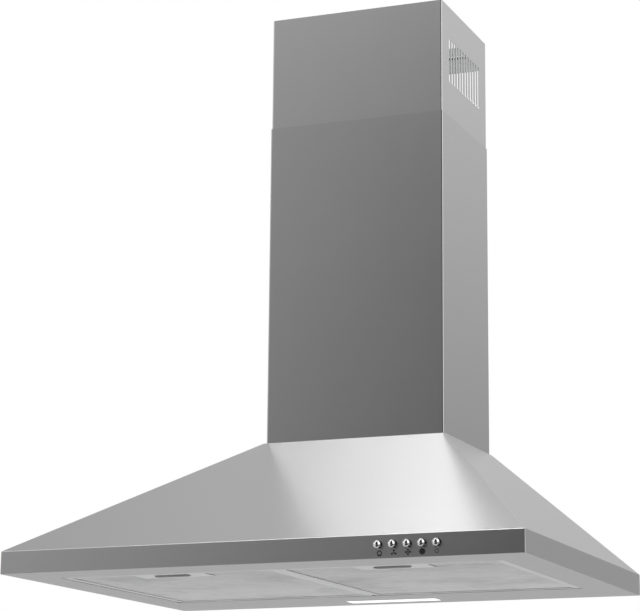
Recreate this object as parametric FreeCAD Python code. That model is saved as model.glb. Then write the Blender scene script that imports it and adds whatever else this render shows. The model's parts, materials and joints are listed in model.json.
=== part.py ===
import FreeCAD, Part
import math
import os
from FreeCAD import Vector

# Wall-mounted chimney range hood. Millimetres, X to the right, Y towards the wall, Z up.
# The wall is the plane y = 0, and the origin lies midway between the two hanging holes.

# Canopy
canopy_width = 598.0
canopy_depth = 465.8
canopy_height = 179.0
fascia_height = 24.8
canopy_sheet = 0.8
chimney_ledge = 2.5
bend_radius = 1.1
top_shelf = 13.0

# Wall fixing
rear_sheet = 1.0
hang_height = 140.0
hang_spacing = 200.0
hang_hole_radius = 4.5
lock_height = 42.0
lock_spacing = 440.0
lock_hole_radius = 2.75

# Underside panel
base_sheet = 0.8
base_edge_radius = 0.6
side_margin = 42.0
front_margin = 58.0
rear_margin = 102.5
opening_wall_height = 14.0
outer_flange_height = 10.0
rear_lip = 8.0

# Chimney covers
chimney_width = 224.8
chimney_depth = 174.0
chimney_sheet = 0.6
chimney_gap = 0.3
chimney_bend_radius = 1.8
lower_chimney_height = 394.4
upper_chimney_length = 385.0
upper_chimney_shown = 141.4
rear_return = 6.0
foot_flange = 12.0

# Vent slots in the upper chimney
slot_count = 12
slot_pitch = 10.09
slot_width = 5.0
slot_height = 55.7
slot_top_inset = 40.9
slot_rear_setback = 32.5

# Upper wall bracket
bracket_sheet = 1.2
bracket_height = 35.0
bracket_tab = 24.0
bracket_hole_spacing = 90.0
bracket_hole_radius = 2.75
bracket_hole_drop = 26.0
bracket_rib_proud = 2.6
bracket_rib_drop = 11.7
bracket_rib_length = 172.0

# Grease filters
filter_recess = 0.3
filter_thickness = 9.0
filter_sheet = 0.8
filter_rail = 8.0
filter_edge_radius = 2.0
filter_side_gap = 0.8
filter_rear_gap = 1.8
mesh_clearance = 2.0
mesh_sheet = 0.6
pivot_radius = 0.9
pivot_setback = 1.3
tab_length = 24.0
tab_spacing = 136.0
tab_thickness = 1.2
tab_lip_clearance = 0.3
tab_end_gap = 1.0

# Filter latches
latch_length = 42.5
latch_width = 9.0
latch_proud = 1.2
latch_rim = 1.8
latch_recess = 0.4
latch_setback = 19.0
latch_travel = 5.0
latch_clearance = 0.2
latch_stem_length = 18.0
latch_stem_width = 4.0
latch_block_length = 28.0
latch_block_width = 12.0
latch_block_height = 5.0
tongue_width = 16.0
tongue_thickness = 2.0
tongue_tip_gap = 0.4
latch_pad_width = 84.0
spring_lug_width = 12.0
spring_lug_thickness = 1.0
latch_spring_length = 12.0
latch_spring_radius = 1.8
latch_spring_wire = 0.5
latch_spring_turns = 5
spring_end_gap = 0.2

# Lamp
lamp_length = 115.5
lamp_width = 26.0
lamp_setback = 37.5
lamp_corner = 3.0
lens_flange = 4.0
lens_flange_thickness = 1.2
lens_clearance = 0.2
lamp_wall = 1.5
lamp_housing_height = 20.0
lamp_board_thickness = 1.6
lamp_board_width = 16.0
lamp_led_count = 6
lamp_led_size = 5.0
lamp_led_height = 1.5

# Push buttons
button_count = 5
button_pitch = 16.0
button_radius = 4.2
button_proud = 6.5
button_dome = 3.4
button_height = 14.3
button_inset = 94.0
button_travel = 2.5
button_clearance = 0.2
button_stop_gap = 0.3
button_collar_lip = 1.0
button_collar_thickness = 1.5
button_stem_radius = 2.0
button_stem_end_gap = 1.0
button_spring_radius = 3.0
button_spring_wire = 0.6
button_spring_turns = 5
bezel_wall = 0.4
bezel_rim = 0.3
bezel_thickness = 0.4

# Switch housing behind the fascia
switch_wall = 1.5
switch_end = 11.0
switch_height = 18.0
switch_depth = 22.0
switch_board_thickness = 1.6
switch_board_setback = 2.0
switch_board_seat = 0.8

# Blower
blower_plate_thickness = 1.2
blower_plate_overlap = 12.0
blower_drop = 79.0
wheel_radius = 60.0
wheel_inner_radius = 50.0
wheel_end_gap = 4.0
wheel_disc_thickness = 2.0
wheel_ring_thickness = 2.0
wheel_start = 29.0
wheel_hub_radius = 10.0
wheel_hub_length = 16.0
blade_count = 36
blade_thickness = 1.0
blade_sweep = 10.0
scroll_gap = 8.0
scroll_growth = 9.0
scroll_sheet = 1.0
scroll_gland_gap = 1.0
scroll_flange = 10.0
scroll_flange_thickness = 1.2
inlet_radius = 52.0
tongue_angle = 120.0
ear_radius = 6.0
ear_length = 8.0
ear_offset = 4.5
motor_plate_thickness = 1.5

# Motor
motor_radius = 40.0
motor_half_length = 25.0
motor_wall = 1.5
motor_hole_clearance = 1.0
motor_flange_radius = 56.0
motor_flange_thickness = 1.5
motor_flange_gap = 3.2
stator_inner_radius = 24.0
stator_half_length = 15.0
rotor_air_gap = 0.5
shaft_radius = 4.0
shaft_half_length = 60.0
shaft_clearance = 0.05
bearing_radius = 8.0
bearing_length = 6.0
bearing_boss_wall = 2.5
nut_radius = 8.0
nut_length = 7.0
bush_count = 3
bush_circle_radius = 49.0
bush_radius = 6.0
bush_neck_radius = 4.0
bush_head = 2.2

# Outlet collar and non-return flaps
collar_wall = 2.5
collar_height = 62.0
collar_flange_gap = 4.0
collar_gland_gap = 11.0
collar_flange_rim = 10.0
collar_flange_thickness = 2.0
flap_height = 12.0
flap_thickness = 1.5
flap_edge_gap = 1.0
flap_hinge_offset = 3.5
flap_pivot_radius = 2.0
flap_pivot_depth = 1.4
flap_pivot_end_gap = 0.3
flap_pivot_clearance = 0.08
flap_rest_gap = 0.3
flap_ledge = 4.0
flap_ledge_thickness = 2.0

# Electrical parts
gland_edge_gap = 1.0
gland_radius = 8.0
gland_neck_radius = 6.0
gland_bore_radius = 4.0
gland_head = 10.0
gland_nut = 5.0
box_left = 130.0
box_width = 66.0
box_height = 54.0
box_depth = 38.0
box_wall = 2.0
box_raise = 38.0
terminal_length = 48.0
terminal_height = 14.0
terminal_depth = 16.0
terminal_ways = 5
terminal_groove = 1.5
capacitor_radius = 13.0
capacitor_length = 52.0

# Screws
screw_radius = 2.0
screw_clearance = 0.1
screw_head_radius = 3.6
screw_head_height = 2.0
screw_tip = 1.5
scroll_screw_inset = 26.0
collar_screw_inset = 10.0
chimney_screw_inset = 42.0

# Allowances: how far a through cut passes a face, and how exactly an edge is picked
cut_past = 1.0
edge_slack = 0.01
upright_share = 0.99
spring_steps = 8

# Heights above and below the hanging holes, and half widths, that several pieces share
underside = -hang_height
base_top = underside + base_sheet
fascia_top = underside + fascia_height
canopy_top = underside + canopy_height
lower_top = canopy_top + lower_chimney_height
upper_top = lower_top + upper_chimney_shown
half_width = canopy_width / 2
ledge_half = chimney_width / 2 + chimney_ledge
ledge_depth = chimney_depth + chimney_ledge
chimney_half = chimney_width / 2
shelf_half = chimney_half - top_shelf
shelf_front = top_shelf - chimney_depth
opening_half = half_width - side_margin
opening_front = front_margin - canopy_depth
opening_rear = -rear_margin
plate_top = canopy_top - canopy_sheet
plate_bottom = plate_top - blower_plate_thickness
duct_y = -chimney_depth / 2
gland_offset = shelf_half - gland_radius - gland_edge_gap
gland_inner = gland_offset - gland_radius
collar_half = min(duct_y - shelf_front - collar_flange_gap, gland_inner - collar_gland_gap)
collar_radius = collar_half - collar_flange_rim
scroll_half_width = gland_inner - scroll_gland_gap - scroll_flange
wheel_length = scroll_half_width - wheel_start - wheel_end_gap


def box(x, y, z):
    size = [abs(pair[1] - pair[0]) for pair in (x, y, z)]
    return Part.makeBox(size[0], size[1], size[2], Vector(min(x), min(y), min(z)))


def rod(radius, start, end):
    return Part.makeCylinder(radius, (end - start).Length, start, end - start)


def tube(outer, inner, start, end):
    return rod(outer, start, end).cut(rod(inner, start, end))


def prism(points, along):
    return Part.Face(Part.makePolygon(points + points[:1])).extrude(along)


def mirrored(shape):
    return shape.mirror(Vector(0, 0, 0), Vector(1, 0, 0))


def stadium(centre, along, across, length, width, depth):
    straight = along * ((length - width) / 2)
    side = across * (width / 2)
    tip = along * (length / 2)
    corners = [centre + straight + side, centre - straight + side,
               centre - straight - side, centre + straight - side]
    edges = [Part.makeLine(corners[0], corners[1]),
             Part.Arc(corners[1], centre - tip, corners[2]).toShape(),
             Part.makeLine(corners[2], corners[3]),
             Part.Arc(corners[3], centre + tip, corners[0]).toShape()]
    return Part.Face(Part.Wire(edges)).extrude(depth)


def round_upright_edges(shape, radius):
    upright = [edge for edge in shape.Edges
               if abs(edge.tangentAt(edge.FirstParameter).z) > upright_share]
    return shape.makeFillet(radius, upright)


def rounded_plate(x, y, z, radius):
    return round_upright_edges(box(x, y, z), radius)


def coil_spring(base, axis, across, length, radius, wire, turns):
    # One wire wound as arcs through three points each, with a clearance at both ends
    third = axis.cross(across)
    steps = turns * spring_steps
    run = length - wire - 2 * spring_end_gap
    points = []
    for step in range(steps + 1):
        turn = 2 * math.pi * step / spring_steps
        out = across * (radius * math.cos(turn)) + third * (radius * math.sin(turn))
        points.append(base + axis * (spring_end_gap + wire / 2 + run * step / steps) + out)
    arcs = [Part.Arc(points[k], points[k + 1], points[k + 2]).toShape()
            for k in range(0, steps, 2)]
    heading = third * (2 * math.pi * radius * turns) + axis * run
    section = Part.Wire(Part.Circle(points[0], heading, wire / 2).toShape())
    print("spring gap between turns", round(run / turns - wire, 2))
    return Part.Wire(arcs).makePipeShell([section], True, False)


def screw(seat, along, grip):
    head = rod(screw_head_radius, seat - along * screw_head_height, seat)
    return head.fuse(rod(screw_radius, seat, seat + along * (grip + screw_tip)))


def screw_hole(centre, along, reach):
    return rod(screw_radius + screw_clearance, centre - along * reach, centre + along * reach)


# Canopy shell and rear panel

def slope_corners(foot, head, inset):
    # Height of the knee and half span at the top, for a slope moved inwards by inset
    run = foot - head
    rise = canopy_top - fascia_top
    slant = math.hypot(run, rise)
    out = run / slant
    up = rise / slant
    knee = fascia_top - inset * out + inset * (1 - up) / out * up
    climb = (canopy_top - inset - fascia_top + inset * out) / up
    return knee, foot - inset * up - climb * out


def canopy_form(inset, low, rear, radius):
    side_knee, side_head = slope_corners(half_width, ledge_half, inset)
    front_knee, front_head = slope_corners(canopy_depth, ledge_depth, inset)
    top = canopy_top - inset
    side = half_width - inset
    front = inset - canopy_depth
    across = [(-side, low), (side, low), (side, side_knee),
              (side_head, top), (-side_head, top), (-side, side_knee)]
    along = [(rear, low), (front, low), (front, front_knee), (-front_head, top), (rear, top)]
    wide = prism([Vector(x, front, z) for x, z in across], Vector(0, rear - front, 0))
    deep = prism([Vector(-half_width, y, z) for y, z in along], Vector(canopy_width, 0, 0))
    form = wide.common(deep)
    bends = [edge for edge in form.Edges
             if edge.BoundBox.ZMax > low + edge_slack
             and edge.BoundBox.YMin < rear - edge_slack]
    return form.makeFillet(radius, bends)


def canopy_inside(rear):
    return canopy_form(canopy_sheet, base_top, rear, bend_radius - canopy_sheet)


def chimney_screw_places():
    side = chimney_half - foot_flange / 2
    return [Vector(x, y, plate_bottom) for x in (-side, side)
            for y in (-chimney_screw_inset, chimney_screw_inset - chimney_depth)]


def button_places():
    last = half_width - button_inset
    return [last - button_pitch * (button_count - 1 - k) for k in range(button_count)]


def make_canopy():
    shell = canopy_form(0, base_top, 0, bend_radius).cut(canopy_inside(canopy_sheet))
    shell = shell.cut(box((-shelf_half, shelf_half), (shelf_front, -top_shelf),
                          (plate_bottom, canopy_top + canopy_sheet)))
    hole_radius = button_radius + button_clearance + bezel_wall
    height = underside + button_height
    holes = [rod(hole_radius, Vector(x, -canopy_depth - cut_past, height),
                 Vector(x, canopy_sheet + cut_past - canopy_depth, height))
             for x in button_places()]
    holes += [screw_hole(place, Vector(0, 0, 1), 2 * screw_head_radius)
              for place in chimney_screw_places()]
    return shell.cut(holes)


def make_rear_panel():
    panel = canopy_inside(0).common(box((-half_width, half_width), (-rear_sheet, 0),
                                        (base_top, canopy_top)))
    lock_z = underside + lock_height
    holes = []
    for side in (-0.5, 0.5):
        hang = Vector(side * hang_spacing, 0, 0)
        lock = Vector(side * lock_spacing, 0, lock_z)
        deep = Vector(0, 2 * rear_sheet, 0)
        holes.append(rod(hang_hole_radius, hang - deep, hang + deep))
        holes.append(rod(lock_hole_radius, lock - deep, lock + deep))
    return panel.cut(holes)


# Underside panel

def switch_span():
    places = button_places()
    return places[0] - switch_end, places[-1] + switch_end


def lamp_opening(low, high, grow):
    half = lamp_length / 2 + grow
    wide = lamp_width / 2 + grow
    return rounded_plate((-half, half), (-lamp_setback - wide, wide - lamp_setback),
                         (low, high), lamp_corner)


def make_underside_panel():
    plate = rounded_plate((-half_width, half_width), (-canopy_depth, 0),
                          (underside, base_top), bend_radius)
    rim = [edge for edge in plate.Edges if edge.BoundBox.ZMax < underside + edge_slack
           and edge.BoundBox.YMin < -bend_radius - edge_slack]
    plate = plate.makeFillet(base_edge_radius, rim)
    opening = (box((-opening_half, opening_half), (opening_front, opening_rear),
                   (underside - cut_past, base_top + cut_past)))
    plate = plate.cut([opening, lamp_opening(underside - cut_past, base_top + cut_past, 0)])
    wall_top = underside + opening_wall_height
    wall_rear = opening_rear + rear_lip
    outside = box((-opening_half - base_sheet, opening_half + base_sheet),
                  (opening_front - base_sheet, wall_rear + base_sheet), (base_top, wall_top))
    inside = box((-opening_half, opening_half), (opening_front, wall_rear), (base_top, wall_top))
    flange_top = underside + outer_flange_height
    band = box((-half_width, half_width), (-canopy_depth, -rear_sheet), (base_top, flange_top))
    inner = canopy_form(canopy_sheet + base_sheet, base_top, 1, base_sheet / 2)
    flange = canopy_inside(1).cut(inner).common(band)
    left, right = switch_span()
    notch = box((left - switch_wall, right + switch_wall),
                (-canopy_depth, switch_depth - canopy_depth), (base_top, flange_top))
    return plate.fuse([outside.cut(inside), flange.cut(notch)]).removeSplitter()


# Chimney covers and upper wall bracket

def chimney_tube(inset, low, high):
    # Folded cover with its rear edges returned inwards, open in the middle of the rear
    half = chimney_half - inset
    front = inset - chimney_depth
    outer = rounded_plate((-half, half), (front, -inset), (low, high), chimney_bend_radius)
    inner = chimney_hollow(inset, low, high)
    rear = box((rear_return - half, half - rear_return),
               (-inset - 2 * chimney_sheet, 0), (low, high))
    return outer.cut([inner, rear])


def chimney_hollow(inset, low, high):
    half = chimney_half - inset - chimney_sheet
    return rounded_plate((-half, half), (inset + chimney_sheet - chimney_depth,
                                         -inset - chimney_sheet), (low, high),
                         chimney_bend_radius - chimney_sheet)


upper_inset = chimney_sheet + chimney_gap


def make_lower_chimney():
    cover = chimney_tube(0, canopy_top, lower_top)
    foot = chimney_hollow(0, canopy_top, canopy_top + chimney_sheet)
    inner_half = chimney_half - foot_flange
    foot = foot.cut(box((-inner_half, inner_half), (foot_flange - chimney_depth, 0),
                        (canopy_top, canopy_top + chimney_sheet)))
    rear_half = chimney_half - rear_return
    foot = foot.cut(box((-rear_half, rear_half), (-rear_return, 0),
                        (canopy_top, canopy_top + chimney_sheet)))
    holes = [screw_hole(place, Vector(0, 0, 1), 2 * screw_head_radius)
             for place in chimney_screw_places()]
    return cover.fuse(foot).cut(holes).removeSplitter()


def make_upper_chimney():
    cover = chimney_tube(upper_inset, upper_top - upper_chimney_length, upper_top)
    centre_z = upper_top - slot_top_inset - slot_height / 2
    slots = []
    for k in range(slot_count):
        centre = Vector(-chimney_half, -slot_rear_setback - slot_pitch * k, centre_z)
        slots.append(stadium(centre, Vector(0, 0, 1), Vector(0, 1, 0), slot_height, slot_width,
                             Vector(chimney_width, 0, 0)))
    return cover.cut(slots)


def make_upper_bracket():
    low = upper_top - bracket_height
    z = (low, upper_top)
    arm_rear = -upper_inset - chimney_sheet
    arm_front = arm_rear - bracket_sheet
    step_half = chimney_half - upper_inset - rear_return - chimney_sheet
    hollow = chimney_hollow(upper_inset, low, upper_top)
    wall_strip = box((-step_half, step_half), (-bracket_sheet, 0), z)
    steps = [box((side * (step_half - bracket_sheet), side * step_half), (arm_front, 0), z)
             for side in (-1, 1)]
    reach = chimney_half - upper_inset - chimney_sheet
    arms = []
    for side in (-1, 1):
        arms.append(box((side * (step_half - bracket_sheet), side * reach),
                        (arm_front, arm_rear), z))
        arms.append(box((side * (reach - bracket_sheet), side * reach),
                        (arm_rear - bracket_tab, arm_rear), z))
    arms = [arm.common(hollow) for arm in arms]
    # A stiffening rib whose upper face falls away from the wall at 45 degrees
    rib_z = upper_top - bracket_rib_drop
    tip = bracket_sheet + bracket_rib_proud
    rib = prism([Vector(-bracket_rib_length / 2, y, z) for y, z in (
        (-bracket_sheet, rib_z), (-tip, rib_z - bracket_rib_proud),
        (-bracket_sheet, rib_z - bracket_rib_proud))], Vector(bracket_rib_length, 0, 0))
    hole_z = upper_top - bracket_hole_drop
    holes = [rod(bracket_hole_radius, Vector(x, -2 * bracket_sheet, hole_z),
                 Vector(x, bracket_sheet, hole_z))
             for x in (-bracket_hole_spacing / 2, bracket_hole_spacing / 2)]
    return wall_strip.fuse(steps + arms + [rib]).cut(holes).removeSplitter()


# Grease filters, made for the right side and mirrored for the left

filter_x = (filter_side_gap, opening_half - filter_side_gap)
filter_y = (opening_front + filter_side_gap, opening_rear - filter_rear_gap)
filter_z = (underside + filter_recess, underside + filter_recess + filter_thickness)
filter_middle = (filter_x[0] + filter_x[1]) / 2
filter_hinge_y = opening_rear - pivot_setback
filter_hinge_z = filter_z[0] + pivot_radius
latch_y = filter_y[0] + latch_setback
pad_top = filter_z[0] + filter_sheet
block_low = pad_top + latch_clearance
block_rear = latch_y + latch_block_width / 2
spring_seat = block_rear + latch_spring_length
pad_rear = spring_seat + 2 * spring_lug_thickness


def narrowed(pair, amount):
    return pair[0] + amount, pair[1] - amount


def round_lower_edges(shape, radius, low):
    return shape.makeFillet(radius, [edge for edge in shape.Edges
                                     if edge.BoundBox.ZMax < low + edge_slack])


def make_filter_frame():
    skin = round_lower_edges(box(filter_x, filter_y, filter_z), filter_edge_radius, filter_z[0])
    hollow_z = narrowed(filter_z, filter_sheet)
    hollow = box(narrowed(filter_x, filter_sheet), narrowed(filter_y, filter_sheet), hollow_z)
    hollow = round_lower_edges(hollow, filter_edge_radius - filter_sheet, hollow_z[0])
    window = box(narrowed(filter_x, filter_rail), narrowed(filter_y, filter_rail),
                 (filter_z[0] - cut_past, filter_z[1] + cut_past))
    frame = skin.cut([hollow, window])
    middle = filter_middle
    pad_half = latch_pad_width / 2
    pad = box((middle - pad_half, middle + pad_half),
              (filter_y[0] + filter_rail - filter_edge_radius, pad_rear), (filter_z[0], pad_top))
    lug_half = spring_lug_width / 2
    lug = box((middle - lug_half, middle + lug_half),
              (spring_seat, spring_seat + spring_lug_thickness),
              (pad_top, block_low + latch_block_height))
    # Each rear tab lies over the panel's lip and has a round rib below it, on which it turns
    tab_low = base_top + tab_lip_clearance
    tabs = []
    for place in (middle - tab_spacing / 2, middle + tab_spacing / 2):
        span = (place - tab_length / 2, place + tab_length / 2)
        tabs.append(rod(pivot_radius, Vector(span[0], filter_hinge_y, filter_hinge_z),
                        Vector(span[1], filter_hinge_y, filter_hinge_z)))
        tabs.append(box(span, (filter_y[1] - filter_edge_radius,
                               opening_rear + rear_lip - tab_end_gap),
                        (tab_low, tab_low + tab_thickness)))
    frame = frame.fuse([pad, lug] + tabs)
    stem = latch_stem_length / 2 + latch_clearance
    stem_y = latch_stem_width / 2 + latch_clearance
    stem_slot = box((middle - stem, middle + stem),
                    (latch_y - stem_y, latch_y + stem_y + latch_travel),
                    (filter_z[0] - cut_past, pad_top))
    tongue = tongue_width / 2 + latch_clearance
    tongue_slot = box((middle - tongue, middle + tongue),
                      (filter_y[0] - cut_past, filter_y[0] + filter_edge_radius),
                      (pad_top, block_low + tongue_thickness + latch_clearance))
    return frame.cut([stem_slot, tongue_slot]).removeSplitter()


def mesh_block(inset):
    edge = filter_sheet + mesh_clearance + inset
    pack = box(narrowed(filter_x, edge), narrowed(filter_y, edge),
               narrowed(filter_z, filter_sheet + inset))
    half = latch_pad_width / 2 + mesh_clearance + inset
    notch = box((filter_middle - half, filter_middle + half),
                (filter_y[0], pad_rear + mesh_clearance + inset), filter_z)
    return pack.cut(notch)


def make_filter_mesh():
    # A sheet of mesh folded into a flat envelope
    return mesh_block(0).cut(mesh_block(mesh_sheet))


def make_latch():
    middle = filter_middle
    handle_low = filter_z[0] - latch_proud
    handle_high = filter_z[0] - latch_clearance
    centre = Vector(middle, latch_y, handle_low)
    along = Vector(1, 0, 0)
    across = Vector(0, 1, 0)
    handle = stadium(centre, along, across, latch_length, latch_width,
                     Vector(0, 0, handle_high - handle_low))
    recess = stadium(centre, along, across, latch_length - 2 * latch_rim,
                     latch_width - 2 * latch_rim, Vector(0, 0, latch_recess))
    stem_half = latch_stem_length / 2
    stem = box((middle - stem_half, middle + stem_half),
               (latch_y - latch_stem_width / 2, latch_y + latch_stem_width / 2),
               (handle_high, block_low))
    block_half = latch_block_length / 2
    block = box((middle - block_half, middle + block_half),
                (latch_y - latch_block_width / 2, block_rear),
                (block_low, block_low + latch_block_height))
    tongue = box((middle - tongue_width / 2, middle + tongue_width / 2),
                 (opening_front + tongue_tip_gap, latch_y), (block_low, block_low + tongue_thickness))
    return handle.cut(recess).fuse([stem, block, tongue]).removeSplitter()


def make_latch_spring():
    centre_z = pad_top + latch_spring_radius + latch_spring_wire / 2 + latch_clearance
    return coil_spring(Vector(filter_middle, block_rear, centre_z), Vector(0, 1, 0),
                       Vector(1, 0, 0), latch_spring_length, latch_spring_radius,
                       latch_spring_wire, latch_spring_turns)


# Lamp in the rear of the underside

def make_lamp_lens():
    body = lamp_opening(underside, base_top, -lens_clearance)
    return body.fuse(lamp_opening(base_top, base_top + lens_flange_thickness, lens_flange))


def make_lamp_housing():
    grow = lens_flange + lens_clearance
    top = base_top + lamp_housing_height
    return lamp_opening(base_top, top, grow + lamp_wall).cut(
        lamp_opening(base_top, top - lamp_wall, grow))


def make_lamp_board():
    ceiling = base_top + lamp_housing_height - lamp_wall
    half = lamp_length / 2
    y = (-lamp_setback - lamp_board_width / 2, lamp_board_width / 2 - lamp_setback)
    low = ceiling - lamp_board_thickness
    board = box((-half, half), y, (low, ceiling))
    step = lamp_length / lamp_led_count
    leds = []
    for k in range(lamp_led_count):
        x = step * (k + 0.5) - half
        leds.append(box((x - lamp_led_size / 2, x + lamp_led_size / 2),
                        (-lamp_setback - lamp_led_size / 2, lamp_led_size / 2 - lamp_setback),
                        (low - lamp_led_height, low)))
    return board.fuse(leds)


# Push buttons and their switch housing

fascia_inner = canopy_sheet - canopy_depth
button_z = underside + button_height
switch_rear = fascia_inner + switch_depth
board_rear = switch_rear - switch_board_setback
board_front = board_rear - switch_board_thickness
collar_front = fascia_inner + switch_wall + button_stop_gap
collar_rear = collar_front + button_collar_thickness
bezel_bore = button_radius + button_clearance


def make_button(x):
    tip = -canopy_depth - button_proud
    shoulder = tip + button_dome
    ball = (button_radius ** 2 + button_dome ** 2) / (2 * button_dome)
    half_turn = math.asin(button_radius / ball) / 2
    bulge = Vector(ball * math.sin(half_turn), tip + ball * (1 - math.cos(half_turn)), 0)
    lip = button_radius + button_collar_lip
    stem_end = board_front - button_travel - button_stem_end_gap
    outline = [(button_radius, shoulder), (button_radius, collar_front), (lip, collar_front),
               (lip, collar_rear), (button_stem_radius, collar_rear),
               (button_stem_radius, stem_end), (0, stem_end), (0, tip)]
    points = [Vector(r, y, 0) for r, y in outline]
    dome = Part.Arc(points[-1], bulge, points[0]).toShape()
    wire = Part.Wire([dome] + Part.makePolygon(points).Edges)
    button = Part.Face(wire).revolve(Vector(0, 0, 0), Vector(0, 1, 0), 360)
    button.translate(Vector(x, 0, button_z))
    return button


def make_button_spring(x):
    return coil_spring(Vector(x, collar_rear, button_z), Vector(0, 1, 0), Vector(1, 0, 0),
                       board_front - collar_rear, button_spring_radius, button_spring_wire,
                       button_spring_turns)


def make_button_bezels():
    rings = []
    for x in button_places():
        face = Vector(x, -canopy_depth, button_z)
        rim = Vector(x, -canopy_depth - bezel_thickness, button_z)
        end = Vector(x, fascia_inner + switch_wall, button_z)
        ring = tube(bezel_bore + bezel_wall + bezel_rim, bezel_bore, rim, face)
        rings.append(ring.fuse(tube(bezel_bore + bezel_wall, bezel_bore, face, end)))
    return Part.makeCompound(rings)


def make_switch_housing():
    x = switch_span()
    z = (button_z - switch_height / 2, button_z + switch_height / 2)
    shell = box(x, (fascia_inner, switch_rear), z)
    inside = box(narrowed(x, switch_wall), (fascia_inner + switch_wall, switch_rear),
                 narrowed(z, switch_wall))
    pocket_wall = switch_wall - switch_board_seat
    pocket = box(narrowed(x, pocket_wall), (board_front, switch_rear), narrowed(z, pocket_wall))
    holes = [rod(bezel_bore + bezel_wall, Vector(place, fascia_inner, button_z),
                 Vector(place, fascia_inner + switch_wall, button_z))
             for place in button_places()]
    return shell.cut([inside, pocket] + holes)


def make_switch_board():
    pocket_wall = switch_wall - switch_board_seat
    z = (button_z - switch_height / 2, button_z + switch_height / 2)
    return box(narrowed(switch_span(), pocket_wall), (board_front, board_rear),
               narrowed(z, pocket_wall))


# Blower: scroll, wheels and motor on one axis along X

scroll_radii = [wheel_radius + scroll_gap + scroll_growth * k for k in range(3)]
tongue_reach = scroll_radii[0] * math.cos(math.radians(tongue_angle))
outlet_reach = scroll_radii[1] - scroll_radii[0] + scroll_radii[2]
axis_y = duct_y - (outlet_reach + tongue_reach) / 2
axis_z = canopy_top - blower_drop
scroll_front = axis_y - scroll_radii[0]
scroll_low = axis_z - scroll_radii[1]
scroll_low_y = scroll_front + scroll_radii[1]
scroll_rear = axis_y + outlet_reach
scroll_rear_z = scroll_low + scroll_radii[2]
outlet_front = axis_y + tongue_reach
plate_half = motor_plate_thickness / 2
scroll_top = plate_bottom - scroll_flange_thickness


def on_axis(x):
    return Vector(x, axis_y, axis_z)


def scroll_prism(inset, top, x):
    # Three growing arcs round the wheel, then an upright outlet
    start_cos = (outlet_front + inset - axis_y) / (scroll_radii[0] - inset)
    turns = [(axis_y, axis_z, scroll_radii[0], math.acos(start_cos), math.pi),
             (scroll_low_y, axis_z, scroll_radii[1], math.pi, 1.5 * math.pi),
             (scroll_low_y, scroll_rear_z, scroll_radii[2], 1.5 * math.pi, 2 * math.pi)]
    edges = []
    for y, z, radius, first, last in turns:
        points = [Vector(x[0], y + (radius - inset) * math.cos(angle),
                         z + (radius - inset) * math.sin(angle))
                  for angle in (first, (first + last) / 2, last)]
        edges.append(Part.Arc(points[0], points[1], points[2]).toShape())
    rear = edges[-1].lastVertex().Point
    tongue = edges[0].firstVertex().Point
    rear_top = Vector(x[0], rear.y, top)
    front_top = Vector(x[0], tongue.y, top)
    edges += [Part.makeLine(rear, rear_top), Part.makeLine(rear_top, front_top),
              Part.makeLine(front_top, tongue)]
    return Part.Face(Part.Wire(edges)).extrude(Vector(x[1] - x[0], 0, 0))


def ear_places():
    return [(scroll_front - ear_offset, axis_z), (scroll_low_y, scroll_low - ear_offset),
            (scroll_rear + ear_offset, scroll_rear_z)]


def ears(radius, x):
    return [rod(radius, Vector(x[0], y, z), Vector(x[1], y, z)) for y, z in ear_places()]


def flange_screw_places():
    x = scroll_half_width + scroll_flange / 2
    return [Vector(side * x, y, scroll_top) for side in (-1, 1)
            for y in (outlet_front + scroll_screw_inset, scroll_rear - scroll_screw_inset)]


def make_scroll_right():
    x = (plate_half, scroll_half_width)
    casing = scroll_prism(0, plate_bottom, x)
    flange = box((plate_half, scroll_half_width + scroll_flange),
                 (outlet_front - scroll_flange / 2, scroll_rear + scroll_flange / 2),
                 (scroll_top, plate_bottom))
    casing = casing.fuse([flange] + ears(ear_radius, (plate_half, plate_half + ear_length)))
    hollow = scroll_prism(scroll_sheet, plate_bottom + cut_past,
                          (x[0] - cut_past, x[1] - scroll_sheet))
    inlet = rod(inlet_radius, on_axis(plate_half), on_axis(2 * scroll_half_width))
    holes = ears(screw_radius, (0, 2 * ear_length))
    holes += [screw_hole(place, Vector(0, 0, 1), 2 * screw_head_radius)
              for place in flange_screw_places()]
    return casing.cut([hollow, inlet] + holes).removeSplitter()


def bush_places():
    turns = [math.radians(90 + 360 * k / bush_count) for k in range(bush_count)]
    return [(axis_y + bush_circle_radius * math.cos(turn),
             axis_z + bush_circle_radius * math.sin(turn)) for turn in turns]


def bush_rods(radius, start, end):
    return [rod(radius, Vector(start, y, z), Vector(end, y, z)) for y, z in bush_places()]


def make_motor_plate():
    x = (-plate_half, plate_half)
    plate = scroll_prism(0, plate_bottom, x).fuse(ears(ear_radius, x))
    hole = rod(motor_radius + motor_hole_clearance, on_axis(-plate_half), on_axis(plate_half))
    return plate.cut([hole] + ears(screw_radius, x) + bush_rods(bush_neck_radius, *x))


def make_scroll_screws():
    left = -plate_half - ear_length
    return Part.makeCompound([screw(Vector(left, y, z), Vector(1, 0, 0), -2 * left)
                              for y, z in ear_places()])


def make_flange_screws():
    grip = scroll_flange_thickness + blower_plate_thickness
    return Part.makeCompound([screw(place, Vector(0, 0, 1), grip)
                              for place in flange_screw_places()])


motor_flange_x = plate_half + motor_flange_gap


def bearing_boss(outer_face, inwards):
    face = on_axis(outer_face)
    return tube(bearing_radius + bearing_boss_wall, bearing_radius, face,
                face + Vector(inwards * bearing_length, 0, 0))


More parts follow.
